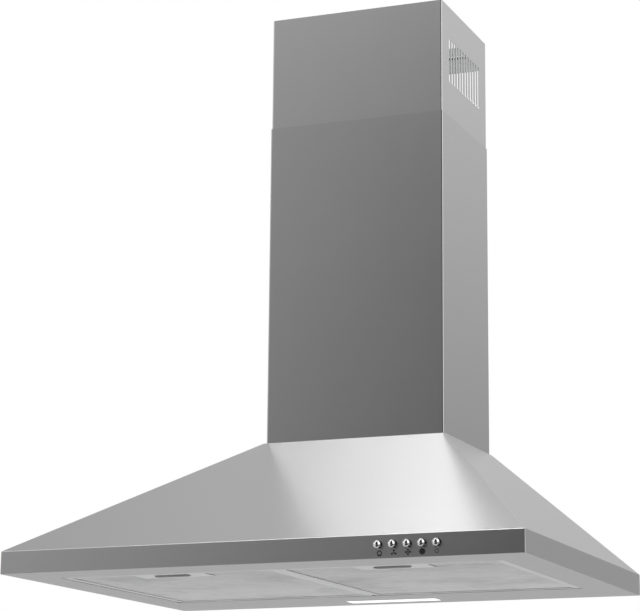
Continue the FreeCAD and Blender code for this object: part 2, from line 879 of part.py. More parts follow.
def make_motor_case():
    right = motor_half_length
    can = rod(motor_radius, on_axis(-right), on_axis(right))
    can = can.cut(rod(motor_radius - motor_wall, on_axis(-right), on_axis(right - motor_wall)))
    can = can.cut(rod(bearing_radius, on_axis(0), on_axis(right)))
    flange = tube(motor_flange_radius, motor_radius - motor_wall, on_axis(motor_flange_x),
                  on_axis(motor_flange_x + motor_flange_thickness))
    can = can.fuse([flange, bearing_boss(right, -1)])
    return can.cut(bush_rods(screw_radius, motor_flange_x,
                             motor_flange_x + motor_flange_thickness)).removeSplitter()


def make_motor_cover():
    left = -motor_half_length
    disc = tube(motor_radius - motor_wall, bearing_radius, on_axis(left),
                on_axis(left + motor_wall))
    return disc.fuse(bearing_boss(left, 1)).removeSplitter()


def make_motor_bearings():
    rings = []
    for side in (-1, 1):
        rings.append(tube(bearing_radius, shaft_radius + shaft_clearance,
                          on_axis(side * (motor_half_length - bearing_length)),
                          on_axis(side * motor_half_length)))
    return Part.makeCompound(rings)


def make_motor_stator():
    return tube(motor_radius - motor_wall, stator_inner_radius, on_axis(-stator_half_length),
                on_axis(stator_half_length))


def make_motor_rotor():
    return tube(stator_inner_radius - rotor_air_gap, shaft_radius, on_axis(-stator_half_length),
                on_axis(stator_half_length))


def make_motor_shaft():
    return rod(shaft_radius, on_axis(-shaft_half_length), on_axis(shaft_half_length))


def make_motor_bushes():
    bodies = bush_rods(bush_radius, plate_half, motor_flange_x)
    necks = bush_rods(bush_neck_radius, -plate_half, plate_half)
    heads = bush_rods(bush_radius, -plate_half - bush_head, -plate_half)
    bores = bush_rods(screw_radius, -plate_half - bush_head, motor_flange_x)
    return Part.makeCompound([body.fuse([neck, head]).cut(bore) for body, neck, head, bore
                              in zip(bodies, necks, heads, bores)])


def make_motor_screws():
    seat = -plate_half - bush_head
    grip = motor_flange_x + motor_flange_thickness - seat
    return Part.makeCompound([screw(Vector(seat, y, z), Vector(1, 0, 0), grip)
                              for y, z in bush_places()])


def make_wheel_right():
    disc_end = wheel_start + wheel_disc_thickness
    end = wheel_start + wheel_length
    disc = rod(wheel_radius, on_axis(wheel_start), on_axis(disc_end))
    ring = tube(wheel_radius, wheel_inner_radius, on_axis(end - wheel_ring_thickness),
                on_axis(end))
    hub = rod(wheel_hub_radius, on_axis(wheel_start), on_axis(wheel_start + wheel_hub_length))
    sweep = math.radians(blade_sweep)
    root = Vector(disc_end, wheel_inner_radius, 0)
    tip = Vector(disc_end, wheel_radius * math.cos(sweep), wheel_radius * math.sin(sweep))
    chord = tip - root
    side = Vector(0, -chord.z, chord.y) * (blade_thickness / chord.Length)
    reach = chord * (1 - blade_thickness / chord.Length)
    blade = prism([root, root + reach, root + reach + side, root + side],
                  Vector(end - disc_end, 0, 0))
    blades = []
    for k in range(blade_count):
        copy = blade.copy()
        copy.rotate(Vector(0, 0, 0), Vector(1, 0, 0), 360 * k / blade_count)
        copy.translate(on_axis(0))
        blades.append(copy)
    wheel = disc.fuse([ring, hub] + blades)
    return wheel.cut(rod(shaft_radius, on_axis(0), on_axis(2 * end)))


def make_shaft_nuts():
    start = wheel_start + wheel_hub_length
    corners = [Vector(start, axis_y + nut_radius * math.cos(math.radians(60 * k)),
                      axis_z + nut_radius * math.sin(math.radians(60 * k))) for k in range(6)]
    nut = prism(corners, Vector(nut_length, 0, 0))
    nut = nut.cut(rod(shaft_radius, on_axis(0), on_axis(shaft_half_length)))
    return Part.makeCompound([nut, mirrored(nut)])


# Blower plate, outlet collar and non-return flaps

flap_z = plate_top + flap_height
collar_bore = collar_radius - collar_wall


def over_duct(z, y=0, x=0):
    return Vector(x, duct_y + y, z)


def collar_screw_places():
    reach = collar_half - collar_screw_inset
    return [over_duct(plate_top + collar_flange_thickness, y, x)
            for x in (-reach, reach) for y in (-reach, reach)]


def make_blower_plate():
    half = shelf_half + blower_plate_overlap
    plate = box((-half, half), (shelf_front - blower_plate_overlap, -rear_sheet),
                (plate_bottom, plate_top))
    up = Vector(0, 0, 1)
    places = chimney_screw_places() + flange_screw_places() + collar_screw_places()
    holes = [screw_hole(place, up, 2 * screw_head_radius) for place in places]
    holes.append(rod(collar_bore, over_duct(plate_bottom), over_duct(plate_top)))
    holes.append(rod(gland_neck_radius, over_duct(plate_bottom, 0, gland_offset),
                     over_duct(plate_top, 0, gland_offset)))
    return plate.cut(holes)


def flap_pivot(side, radius, extra):
    half = math.sqrt(collar_bore ** 2 - flap_hinge_offset ** 2) + flap_pivot_depth + extra
    y = side * flap_hinge_offset
    return rod(radius, over_duct(flap_z, y, -half), over_duct(flap_z, y, half))


def make_outlet_collar():
    flange_top = plate_top + collar_flange_thickness
    flange = box((-collar_half, collar_half), (duct_y - collar_half, duct_y + collar_half),
                 (plate_top, flange_top))
    collar = rod(collar_radius, over_duct(plate_top), over_duct(plate_top + collar_height))
    bore = rod(collar_bore, over_duct(plate_top), over_duct(plate_top + collar_height))
    ledge_top = flap_z - flap_thickness / 2 - flap_rest_gap
    ledge_low = ledge_top - flap_ledge_thickness
    ledge = tube(collar_bore, collar_bore - flap_ledge, over_duct(ledge_low),
                 over_duct(ledge_top))
    bar_top = flap_z - flap_pivot_radius - flap_rest_gap
    bar_y = flap_hinge_offset + flap_pivot_radius
    bar = box((-collar_bore, collar_bore), (duct_y - bar_y, duct_y + bar_y),
              (bar_top - flap_ledge_thickness, bar_top))
    bar = bar.common(bore)
    # The ledge stops short of the pivots, so that they turn freely
    clear_y = bar_y + flap_rest_gap
    ledge = ledge.cut(box((-collar_radius, collar_radius), (duct_y - clear_y, duct_y + clear_y),
                          (bar_top, ledge_top)))
    collar = collar.fuse(flange).cut(bore).fuse([ledge, bar])
    pivots = [flap_pivot(side, flap_pivot_radius + flap_pivot_clearance, flap_pivot_end_gap)
              for side in (-1, 1)]
    screws = [screw_hole(place, Vector(0, 0, 1), 2 * screw_head_radius)
              for place in collar_screw_places()]
    return collar.cut(pivots + screws).removeSplitter()


def make_flap(side):
    radius = collar_bore - flap_edge_gap
    low = flap_z - flap_thickness / 2
    high = flap_z + flap_thickness / 2
    disc = rod(radius, over_duct(low), over_duct(high))
    hinge = side * flap_hinge_offset
    half_disc = disc.common(box((-radius, radius), (duct_y + hinge, duct_y + side * radius),
                                (low, high)))
    return half_disc.fuse(flap_pivot(side, flap_pivot_radius, 0)).removeSplitter()


def make_collar_screws():
    grip = collar_flange_thickness + blower_plate_thickness
    return Part.makeCompound([screw(place, Vector(0, 0, -1), grip)
                              for place in collar_screw_places()])


def make_chimney_screws():
    grip = blower_plate_thickness + canopy_sheet + chimney_sheet
    return Part.makeCompound([screw(place, Vector(0, 0, 1), grip)
                              for place in chimney_screw_places()])


# Junction box on the rear panel, and the mains cable gland

box_x = (box_left, box_left + box_width)
box_y = (-rear_sheet - box_depth, -rear_sheet)
box_z = (underside + box_raise, underside + box_raise + box_height)
lid_rear = box_y[0] + box_wall
cell_x = narrowed(box_x, box_wall)
cell_z = narrowed(box_z, box_wall)
cell_rear = box_y[1] - box_wall


def make_junction_box():
    return box(box_x, (lid_rear, box_y[1]), box_z).cut(
        box(cell_x, (lid_rear, cell_rear), cell_z))


def make_junction_lid():
    return box(box_x, (box_y[0], lid_rear), box_z)


def make_terminal_block():
    left = cell_x[0]
    block = box((left, left + terminal_length), (cell_rear - terminal_depth, cell_rear),
                (cell_z[0], cell_z[0] + terminal_height))
    way = terminal_length / terminal_ways
    grooves = [box((left + way * k - terminal_groove / 2, left + way * k + terminal_groove / 2),
                   (cell_rear - terminal_depth, cell_rear - terminal_depth / 2), cell_z)
               for k in range(1, terminal_ways)]
    return block.cut(grooves)


def make_capacitor():
    z = cell_z[1] - capacitor_radius
    y = cell_rear - capacitor_radius
    return rod(capacitor_radius, Vector(cell_x[0], y, z),
               Vector(cell_x[0] + capacitor_length, y, z))


def make_cable_gland():
    levels = [plate_bottom - gland_nut, plate_bottom, plate_top, plate_top + gland_head]
    points = [over_duct(z, 0, gland_offset) for z in levels]
    nut = rod(gland_radius, points[0], points[1])
    neck = rod(gland_neck_radius, points[1], points[2])
    head = rod(gland_radius, points[2], points[3])
    return nut.fuse([neck, head]).cut(rod(gland_bore_radius, points[0], points[3]))


def all_pieces():
    pieces = {
        "canopy_shell": make_canopy(),
        "rear_panel": make_rear_panel(),
        "underside_panel": make_underside_panel(),
        "lower_chimney": make_lower_chimney(),
        "upper_chimney": make_upper_chimney(),
        "upper_wall_bracket": make_upper_bracket(),
        "lamp_lens": make_lamp_lens(),
        "lamp_housing": make_lamp_housing(),
        "lamp_board": make_lamp_board(),
        "button_bezels": make_button_bezels(),
        "switch_housing": make_switch_housing(),
        "switch_board": make_switch_board(),
        "motor_plate": make_motor_plate(),
        "motor_case": make_motor_case(),
        "motor_cover": make_motor_cover(),
        "motor_bearings": make_motor_bearings(),
        "motor_stator": make_motor_stator(),
        "motor_rotor": make_motor_rotor(),
        "motor_shaft": make_motor_shaft(),
        "motor_bushes": make_motor_bushes(),
        "motor_screws": make_motor_screws(),
        "shaft_nuts": make_shaft_nuts(),
        "scroll_screws": make_scroll_screws(),
        "flange_screws": make_flange_screws(),
        "blower_plate": make_blower_plate(),
        "outlet_collar": make_outlet_collar(),
        "flap_front": make_flap(-1),
        "flap_rear": make_flap(1),
        "collar_screws": make_collar_screws(),
        "chimney_screws": make_chimney_screws(),
        "junction_box": make_junction_box(),
        "junction_lid": make_junction_lid(),
        "terminal_block": make_terminal_block(),
        "capacitor": make_capacitor(),
        "cable_gland": make_cable_gland(),
    }
    handed = {"scroll": make_scroll_right(), "wheel": make_wheel_right(),
              "filter_frame": make_filter_frame(), "filter_mesh": make_filter_mesh(),
              "filter_latch": make_latch(), "latch_spring": make_latch_spring()}
    for name, shape in handed.items():
        pieces[name + "_right"] = shape
        pieces[name + "_left"] = mirrored(shape)
    for number, x in enumerate(button_places(), 1):
        pieces["button_" + str(number)] = make_button(x)
        pieces["button_spring_" + str(number)] = make_button_spring(x)
    return pieces


os.makedirs("parts", exist_ok=True)
for name, shape in all_pieces().items():
    shape.exportStep("parts/" + name + ".step")
    print(name, len(shape.Solids), "solids, valid", shape.isValid(), round(shape.Volume))
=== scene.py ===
import bpy
import json
import math
from mathutils import Matrix, Vector

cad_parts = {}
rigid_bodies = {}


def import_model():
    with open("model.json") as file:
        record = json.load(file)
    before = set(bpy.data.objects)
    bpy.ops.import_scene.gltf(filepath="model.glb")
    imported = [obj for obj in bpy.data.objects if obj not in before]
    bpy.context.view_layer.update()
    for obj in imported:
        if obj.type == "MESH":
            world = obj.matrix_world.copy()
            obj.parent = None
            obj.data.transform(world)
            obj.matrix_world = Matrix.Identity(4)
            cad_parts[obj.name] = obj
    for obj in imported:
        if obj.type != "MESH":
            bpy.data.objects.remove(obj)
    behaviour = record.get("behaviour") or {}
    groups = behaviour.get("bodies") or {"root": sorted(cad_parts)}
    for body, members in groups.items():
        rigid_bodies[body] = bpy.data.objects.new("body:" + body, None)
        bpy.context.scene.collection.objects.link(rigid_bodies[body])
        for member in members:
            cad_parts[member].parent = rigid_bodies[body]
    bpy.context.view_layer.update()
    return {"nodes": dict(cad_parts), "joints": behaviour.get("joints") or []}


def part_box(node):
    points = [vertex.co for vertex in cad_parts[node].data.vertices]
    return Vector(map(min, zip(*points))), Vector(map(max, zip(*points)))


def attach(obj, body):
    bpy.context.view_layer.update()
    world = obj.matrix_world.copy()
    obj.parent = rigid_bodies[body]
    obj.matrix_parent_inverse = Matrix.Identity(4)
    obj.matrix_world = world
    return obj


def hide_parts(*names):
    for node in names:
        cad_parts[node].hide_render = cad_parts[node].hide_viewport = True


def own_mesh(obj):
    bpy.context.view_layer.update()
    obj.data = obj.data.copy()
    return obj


bpy.ops.object.select_all(action="SELECT")
bpy.ops.object.delete()   # start from an empty scene
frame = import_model()
cadNodes = frame["nodes"]
print("frame loaded with", len(cadNodes), "nodes")


# small helpers for node trees

def put(tree, kind, **settings):
    node = tree.nodes.new(kind)
    for key, value in settings.items():
        setattr(node, key, value)
    return node


def feed(tree, socket, source):
    if isinstance(source, bpy.types.NodeSocket):
        tree.links.new(source, socket)
    else:
        socket.default_value = source


def maths(tree, operation, first, second=0.0, third=0.5):
    node = put(tree, "ShaderNodeMath", operation=operation)
    for socket, source in zip(node.inputs, (first, second, third)):
        feed(tree, socket, source)
    return node.outputs[0]


def remap(tree, value, fromLow, fromHigh, toLow, toHigh):
    node = put(tree, "ShaderNodeMapRange", interpolation_type="SMOOTHSTEP")
    for socket, source in zip(node.inputs, (value, fromLow, fromHigh, toLow, toHigh)):
        feed(tree, socket, source)
    return node.outputs[0]


def noise(tree, vector, scale, detail=3.0, roughness=0.55):
    node = put(tree, "ShaderNodeTexNoise")
    feed(tree, node.inputs["Vector"], vector)
    feed(tree, node.inputs["Scale"], scale)
    node.inputs["Detail"].default_value = detail
    node.inputs["Roughness"].default_value = roughness
    return node.outputs["Fac"]


def tinted(tree, mask, low, high):
    node = put(tree, "ShaderNodeMix", data_type="RGBA")
    feed(tree, node.inputs[0], mask)
    feed(tree, node.inputs[6], low)
    feed(tree, node.inputs[7], high)
    return node.outputs[2]


def shaded(tree, colour, value):
    node = put(tree, "ShaderNodeMix", data_type="RGBA", blend_type="MULTIPLY")
    node.inputs[0].default_value = 1.0
    feed(tree, node.inputs[6], colour)
    feed(tree, node.inputs[7], value)
    return node.outputs[2]


def newGroup(name, inputs, outputs):
    tree = bpy.data.node_groups.new(name, "ShaderNodeTree")
    kinds = {"vector": "NodeSocketVector", "value": "NodeSocketFloat", "colour": "NodeSocketColor"}
    for label, kind, start in inputs:
        socket = tree.interface.new_socket(label, in_out="INPUT", socket_type=kinds[kind])
        if start is not None:
            socket.default_value = start
    for label, kind in outputs:
        tree.interface.new_socket(label, in_out="OUTPUT", socket_type=kinds[kind])
    return tree, put(tree, "NodeGroupInput").outputs, put(tree, "NodeGroupOutput").inputs


# shared effects

def makeBrushLines():   # long fine scratches left by the abrasive belt
    tree, given, out = newGroup("brushLines",
                                [("Vector", "vector", None), ("Contrast", "value", 0.05),
                                 ("Rough Low", "value", 0.25), ("Rough High", "value", 0.4)],
                                [("Shade", "value"), ("Roughness", "value"), ("Height", "value")])
    fine = noise(tree, given["Vector"], 1.0, 5.0, 0.7)
    broad = noise(tree, given["Vector"], 0.13, 2.0, 0.5)
    blend = maths(tree, "ADD", maths(tree, "MULTIPLY", fine, 0.7), maths(tree, "MULTIPLY", broad, 0.3))
    swing = maths(tree, "MULTIPLY", maths(tree, "SUBTRACT", blend, 0.5), given["Contrast"])
    feed(tree, out["Shade"], maths(tree, "ADD", swing, 1.0))
    feed(tree, out["Roughness"], remap(tree, blend, 0.3, 0.7, given["Rough Low"], given["Rough High"]))
    feed(tree, out["Height"], fine)
    return tree


def makeHandMarks():   # faint cloudy marks where a panel was wiped
    tree, given, out = newGroup("handMarks",
                                [("Vector", "vector", None), ("Scale", "value", 9.0),
                                 ("Amount", "value", 0.1)], [("Mask", "value")])
    cloud = noise(tree, given["Vector"], given["Scale"], 4.0, 0.6)
    wisp = noise(tree, given["Vector"], maths(tree, "MULTIPLY", given["Scale"], 5.3), 3.0, 0.7)
    patch = remap(tree, cloud, 0.42, 0.68, 0.0, 1.0)
    mask = maths(tree, "MULTIPLY", patch, remap(tree, wisp, 0.3, 0.75, 0.35, 1.0))
    feed(tree, out["Mask"], maths(tree, "MULTIPLY", mask, given["Amount"]))
    return tree


def makeEdgeRubAndSheen():   # lighter colour along the arrises: painted edge highlight, with some rubbed wear
    tree, given, out = newGroup("edgeRubAndSheen",
                                [("Vector", "vector", None), ("Width", "value", 0.0006),
                                 ("Amount", "value", 0.5)], [("Mask", "value")])
    rounded = put(tree, "ShaderNodeBevel", samples=4)
    feed(tree, rounded.inputs["Radius"], given["Width"])
    flat = put(tree, "ShaderNodeNewGeometry")
    facing = put(tree, "ShaderNodeVectorMath", operation="DOT_PRODUCT")
    tree.links.new(rounded.outputs["Normal"], facing.inputs[0])
    tree.links.new(flat.outputs["Normal"], facing.inputs[1])
    edge = remap(tree, facing.outputs["Value"], 0.995, 0.86, 0.0, 1.0)
    broken = remap(tree, noise(tree, given["Vector"], 160.0, 3.0, 0.6), 0.35, 0.62, 0.25, 1.0)
    feed(tree, out["Mask"], maths(tree, "MULTIPLY", maths(tree, "MULTIPLY", edge, broken), given["Amount"]))
    return tree


def makeSettledDust():   # thin dust on faces that look up
    tree, given, out = newGroup("settledDust",
                                [("Vector", "vector", None), ("Amount", "value", 0.2)],
                                [("Mask", "value")])
    facing = put(tree, "ShaderNodeSeparateXYZ")
    tree.links.new(put(tree, "ShaderNodeNewGeometry").outputs["Normal"], facing.inputs[0])
    level = remap(tree, facing.outputs["Z"], 0.55, 0.98, 0.0, 1.0)
    speck = remap(tree, noise(tree, given["Vector"], 55.0, 6.0, 0.65), 0.35, 0.7, 0.3, 1.0)
    feed(tree, out["Mask"], maths(tree, "MULTIPLY", maths(tree, "MULTIPLY", level, speck), given["Amount"]))
    return tree


def makeMouldGrain():   # spark-eroded grain of a plastic moulding
    tree, given, out = newGroup("mouldGrain",
                                [("Vector", "vector", None), ("Scale", "value", 900.0),
                                 ("Contrast", "value", 0.2)],
                                [("Shade", "value"), ("Height", "value")])
    pits = noise(tree, given["Vector"], given["Scale"], 2.0, 0.5)
    flow = noise(tree, given["Vector"], 22.0, 2.0, 0.5)
    both = maths(tree, "ADD", maths(tree, "MULTIPLY", pits, 0.4), maths(tree, "MULTIPLY", flow, 0.6))
    swing = maths(tree, "MULTIPLY", maths(tree, "SUBTRACT", both, 0.5), given["Contrast"])
    feed(tree, out["Shade"], maths(tree, "ADD", swing, 1.0))
    feed(tree, out["Height"], pits)
    return tree


brushLines = makeBrushLines()
handMarks = makeHandMarks()
edgeRubAndSheen = makeEdgeRubAndSheen()
settledDust = makeSettledDust()
mouldGrain = makeMouldGrain()


# materials

# the zinc and plastic edge colours here are painted edge highlights with some rubbed wear
wearAndSheen = {"dustOnMetal": (0.42, 0.40, 0.37, 1), "dustOnPlastic": (0.46, 0.44, 0.41, 1),
        "zincRubAndSheen": (0.78, 0.78, 0.77, 1), "zincRubSheenWidth": 0.0008, "zincRubSheen": 0.5,
        "plasticRubSheenWidth": 0.0005, "markDulls": 0.25, "smudgeDulls": 0.5}


def startMaterial(name, stretch=(1, 1, 1), turn=(0, 0, 0)):
    material = bpy.data.materials.new(name)
    material.use_nodes = True
    tree = material.node_tree
    tree.nodes.clear()
    output = put(tree, "ShaderNodeOutputMaterial")
    skin = put(tree, "ShaderNodeBsdfPrincipled")
    tree.links.new(skin.outputs[0], output.inputs[0])
    place = put(tree, "ShaderNodeTexCoord").outputs["Object"]
    mapping = put(tree, "ShaderNodeMapping")
    mapping.inputs["Scale"].default_value = stretch
    mapping.inputs["Rotation"].default_value = turn
    tree.links.new(place, mapping.inputs["Vector"])
    return material, tree, skin, place, mapping.outputs["Vector"]


def effect(tree, group, **values):
    node = put(tree, "ShaderNodeGroup", node_tree=group)
    for label, value in values.items():
        feed(tree, node.inputs[label.replace("_", " ")], value)
    return node.outputs


def dented(tree, skin, height, strength, distance):
    bump = put(tree, "ShaderNodeBump")
    bump.inputs["Strength"].default_value = strength
    bump.inputs["Distance"].default_value = distance
    tree.links.new(height, bump.inputs["Height"])
    tree.links.new(bump.outputs["Normal"], skin.inputs["Normal"])


def brushedMetal(name, look):
    material, tree, skin, place, lines = startMaterial(name, look["stretch"])
    skin.inputs["Metallic"].default_value = 1.0
    belt = effect(tree, brushLines, Vector=lines, Contrast=look["contrast"],
                  Rough_Low=look["roughLow"], Rough_High=look["roughHigh"])
    marks = effect(tree, handMarks, Vector=place, Scale=look["markScale"], Amount=look["marks"])["Mask"]
    colour = shaded(tree, (*look["colour"], 1), belt["Shade"])
    feed(tree, skin.inputs["Base Color"], tinted(tree, marks, colour, (*look["markColour"], 1)))
    feed(tree, skin.inputs["Roughness"],
         maths(tree, "ADD", belt["Roughness"], maths(tree, "MULTIPLY", marks, wearAndSheen["markDulls"])))
    dented(tree, skin, belt["Height"], look["bump"], 0.00002)
    return material


def platedMetal(name, look):   # zinc coat with its frosty crystals
    material, tree, skin, place, _ = startMaterial(name)
    skin.inputs["Metallic"].default_value = 1.0
    crystals = put(tree, "ShaderNodeTexVoronoi")
    crystals.inputs["Scale"].default_value = look["crystal"]
    tree.links.new(place, crystals.inputs["Vector"])
    grey = put(tree, "ShaderNodeSeparateColor")
    tree.links.new(crystals.outputs["Color"], grey.inputs[0])
    facet = grey.outputs[0]
    colour = tinted(tree, facet, (*look["dark"], 1), (*look["light"], 1))
    # edges lightened towards the zinc edge colour: painted edge highlight with some rubbed wear
    rubSheen = effect(tree, edgeRubAndSheen, Vector=place, Width=wearAndSheen["zincRubSheenWidth"], Amount=wearAndSheen["zincRubSheen"])["Mask"]
    dust = effect(tree, settledDust, Vector=place, Amount=look["dust"])["Mask"]
    colour = tinted(tree, rubSheen, colour, wearAndSheen["zincRubAndSheen"])
    feed(tree, skin.inputs["Base Color"], tinted(tree, dust, colour, wearAndSheen["dustOnMetal"]))
    feed(tree, skin.inputs["Metallic"], maths(tree, "SUBTRACT", 1.0, dust))
    feed(tree, skin.inputs["Roughness"], remap(tree, facet, 0.0, 1.0, look["roughLow"], look["roughHigh"]))
    dented(tree, skin, noise(tree, place, 1400.0, 2.0), 0.15, 0.00003)
    return material


def mouldedPlastic(name, look):
    material, tree, skin, place, _ = startMaterial(name)
    skin.inputs["IOR"].default_value = 1.5
    grain = effect(tree, mouldGrain, Vector=place, Scale=look["grain"], Contrast=look["contrast"])
    # edges lightened towards the edge colour: painted edge highlight with some rubbed wear
    rubSheen = effect(tree, edgeRubAndSheen, Vector=place, Width=wearAndSheen["plasticRubSheenWidth"], Amount=look["rubSheen"])["Mask"]
    dust = effect(tree, settledDust, Vector=place, Amount=look["dust"])["Mask"]
    colour = shaded(tree, (*look["colour"], 1), grain["Shade"])
    colour = tinted(tree, rubSheen, colour, (*look["rubSheenColour"], 1))
    feed(tree, skin.inputs["Base Color"], tinted(tree, dust, colour, wearAndSheen["dustOnPlastic"]))
    feed(tree, skin.inputs["Roughness"],
         remap(tree, grain["Height"], 0.3, 0.7, look["rough"] - 0.05, look["rough"] + 0.07))
    dented(tree, skin, grain["Height"], look["bump"], 0.00004)
    return material


def polishedMetal(name, look):   # mirror or turned finish with hairline marks
    material, tree, skin, place, lines = startMaterial(name, look["stretch"])
    skin.inputs["Metallic"].default_value = 1.0
    hair = noise(tree, lines, 1.0, 4.0, 0.7)
    marks = effect(tree, handMarks, Vector=place, Scale=look["markScale"], Amount=look["marks"])["Mask"]
    colour = tinted(tree, remap(tree, hair, 0.3, 0.7, 0.0, 1.0), (*look["dark"], 1), (*look["light"], 1))
    feed(tree, skin.inputs["Base Color"],
         shaded(tree, colour, maths(tree, "SUBTRACT", 1.0, maths(tree, "MULTIPLY", marks, look["smudge"]))))
    rough = remap(tree, hair, 0.3, 0.7, look["roughLow"], look["roughHigh"])
    feed(tree, skin.inputs["Roughness"],
         maths(tree, "ADD", rough, maths(tree, "MULTIPLY", marks, wearAndSheen["smudgeDulls"])))
    dented(tree, skin, hair, look["bump"], 0.00002)
    return material


def circuitBoard(name, look):
    material, tree, skin, place, flat = startMaterial(name, look["stretch"])
    tracks = put(tree, "ShaderNodeTexBrick", offset=0.4)
    tree.links.new(flat, tracks.inputs["Vector"])
    tracks.inputs["Scale"].default_value = 1.0
    tracks.inputs["Mortar Size"].default_value = 0.05
    tracks.inputs["Color1"].default_value = (*look["mask"], 1)
    tracks.inputs["Color2"].default_value = (*look["maskDark"], 1)
    tracks.inputs["Mortar"].default_value = (*look["track"], 1)
    cloth = noise(tree, place, 700.0, 2.0)
    feed(tree, skin.inputs["Base Color"],
         shaded(tree, tracks.outputs["Color"], remap(tree, cloth, 0.3, 0.7, 0.9, 1.05)))
    feed(tree, skin.inputs["Roughness"], remap(tree, cloth, 0.3, 0.7, 0.28, 0.42))
    dented(tree, skin, tracks.outputs["Fac"], 0.4, 0.00005)
    return material


def litLens(name, look):   # frosted cover over a row of light diodes
    material, tree, skin, place, flutes = startMaterial(name, look["stretch"])
    ribs = put(tree, "ShaderNodeTexWave", wave_profile="SIN")
    tree.links.new(flutes, ribs.inputs["Vector"])
    ribs.inputs["Scale"].default_value = 1.0
    frost = noise(tree, place, 420.0, 3.0)
    glow = maths(tree, "ADD", remap(tree, ribs.outputs["Fac"], 0.0, 1.0, 0.86, 1.0),
                 maths(tree, "MULTIPLY", maths(tree, "SUBTRACT", frost, 0.5), 0.06))
    feed(tree, skin.inputs["Base Color"], shaded(tree, (*look["colour"], 1), glow))
    feed(tree, skin.inputs["Emission Color"], shaded(tree, (*look["glow"], 1), glow))
    skin.inputs["Emission Strength"].default_value = look["strength"]
    feed(tree, skin.inputs["Roughness"], remap(tree, frost, 0.3, 0.7, 0.3, 0.45))
    dented(tree, skin, ribs.outputs["Fac"], 0.3, 0.0002)
    return material


def printedInk(name, look):
    material, tree, skin, place, _ = startMaterial(name)
    grain = noise(tree, place, 2600.0, 3.0, 0.6)
    feed(tree, skin.inputs["Base Color"],
         tinted(tree, remap(tree, grain, 0.3, 0.75, 0.0, 1.0), (*look["colour"], 1), (*look["thin"], 1)))
    feed(tree, skin.inputs["Roughness"], remap(tree, grain, 0.3, 0.7, 0.5, 0.65))
    dented(tree, skin, grain, 0.1, 0.00001)
    return material


steelLook = {"colour": (0.49, 0.49, 0.492), "stretch": (6, 6, 2600), "contrast": 0.012,
             "roughLow": 0.28, "roughHigh": 0.295, "bump": 0.006, "markScale": 7.0, "marks": 0.03,
             "markColour": (0.52, 0.52, 0.52)}
canopySteel = brushedMetal("canopySteel", steelLook)
# the chimney and underside take darker copies of the canopy steel: painted shade; the upper cover takes a
# lighter copy: painted light
chimneySteel = brushedMetal("chimneySteel", {**steelLook, "colour": (0.46, 0.46, 0.462),
                                             "stretch": (2600, 2600, 6)})
paintedLightUpperSteel = brushedMetal("paintedLightUpperSteel", {**steelLook, "colour": (0.505, 0.505, 0.507),
                                                  "stretch": (2600, 2600, 6)})
undersideSteel = brushedMetal("undersideSteel", {**steelLook, "colour": (0.485, 0.485, 0.487),
                                                "stretch": (6, 2600, 2600)})
filterAluminium = brushedMetal("filterAluminium", {**steelLook, "colour": (0.77, 0.77, 0.775),
                                                  "stretch": (700, 700, 700), "contrast": 0.08,
                                                  "roughLow": 0.3, "roughHigh": 0.42, "marks": 0.1})
filterStrand = polishedMetal("filterStrand", {"dark": (0.85, 0.85, 0.85), "light": (0.92, 0.92, 0.925),
                                              "stretch": (60, 60, 60), "roughLow": 0.46,
                                              "roughHigh": 0.58, "bump": 0.05, "markScale": 9.0,
                                              "marks": 0.3, "smudge": 0.5})
zincSteel = platedMetal("zincSteel", {"crystal": 420.0, "dark": (0.52, 0.53, 0.54),
                                      "light": (0.57, 0.58, 0.59), "roughLow": 0.36,
                                      "roughHigh": 0.44, "dust": 0.12})
buttonChrome = polishedMetal("buttonChrome", {"dark": (0.80, 0.80, 0.81), "light": (0.90, 0.90, 0.91),
                                              "stretch": (900, 900, 900), "roughLow": 0.04,
                                              "roughHigh": 0.07, "bump": 0.005, "markScale": 120.0,
                                              "marks": 0.04, "smudge": 0.3})
springSteel = polishedMetal("springSteel", {"dark": (0.42, 0.42, 0.43), "light": (0.62, 0.62, 0.63),
                                            "stretch": (1500, 1500, 1500), "roughLow": 0.22,
                                            "roughHigh": 0.36, "bump": 0.06, "markScale": 80.0,
                                            "marks": 0.1, "smudge": 0.8})
shaftSteel = polishedMetal("shaftSteel", {"dark": (0.50, 0.50, 0.51), "light": (0.66, 0.66, 0.67),
                                          "stretch": (4000, 60, 60), "roughLow": 0.15,
                                          "roughHigh": 0.28, "bump": 0.1, "markScale": 60.0,
                                          "marks": 0.1, "smudge": 0.8})
motorIron = polishedMetal("motorIron", {"dark": (0.20, 0.20, 0.21), "light": (0.36, 0.36, 0.37),
                                        "stretch": (2000, 12, 12), "roughLow": 0.4,
                                        "roughHigh": 0.6, "bump": 0.3, "markScale": 40.0,
                                        "marks": 0.2, "smudge": 1.0})
bearingBronze = polishedMetal("bearingBronze", {"dark": (0.40, 0.24, 0.10), "light": (0.60, 0.39, 0.18),
                                                "stretch": (1800, 1800, 1800), "roughLow": 0.3,
                                                "roughHigh": 0.5, "bump": 0.2, "markScale": 60.0,
                                                "marks": 0.2, "smudge": 1.0})
latchPlastic = mouldedPlastic("latchPlastic", {"colour": (0.30, 0.30, 0.303), "grain": 1100.0,
                                               "contrast": 0.35, "rubSheen": 0.35, "dust": 0.0,
                                               "rubSheenColour": (0.3, 0.3, 0.3), "rough": 0.3,
                                               "bump": 0.2})
blackPlastic = mouldedPlastic("blackPlastic", {"colour": (0.022, 0.022, 0.023), "grain": 1300.0,
                                               "contrast": 0.3, "rubSheen": 0.25, "dust": 0.05,
                                               "rubSheenColour": (0.09, 0.09, 0.09), "rough": 0.4,
                                               "bump": 0.2})
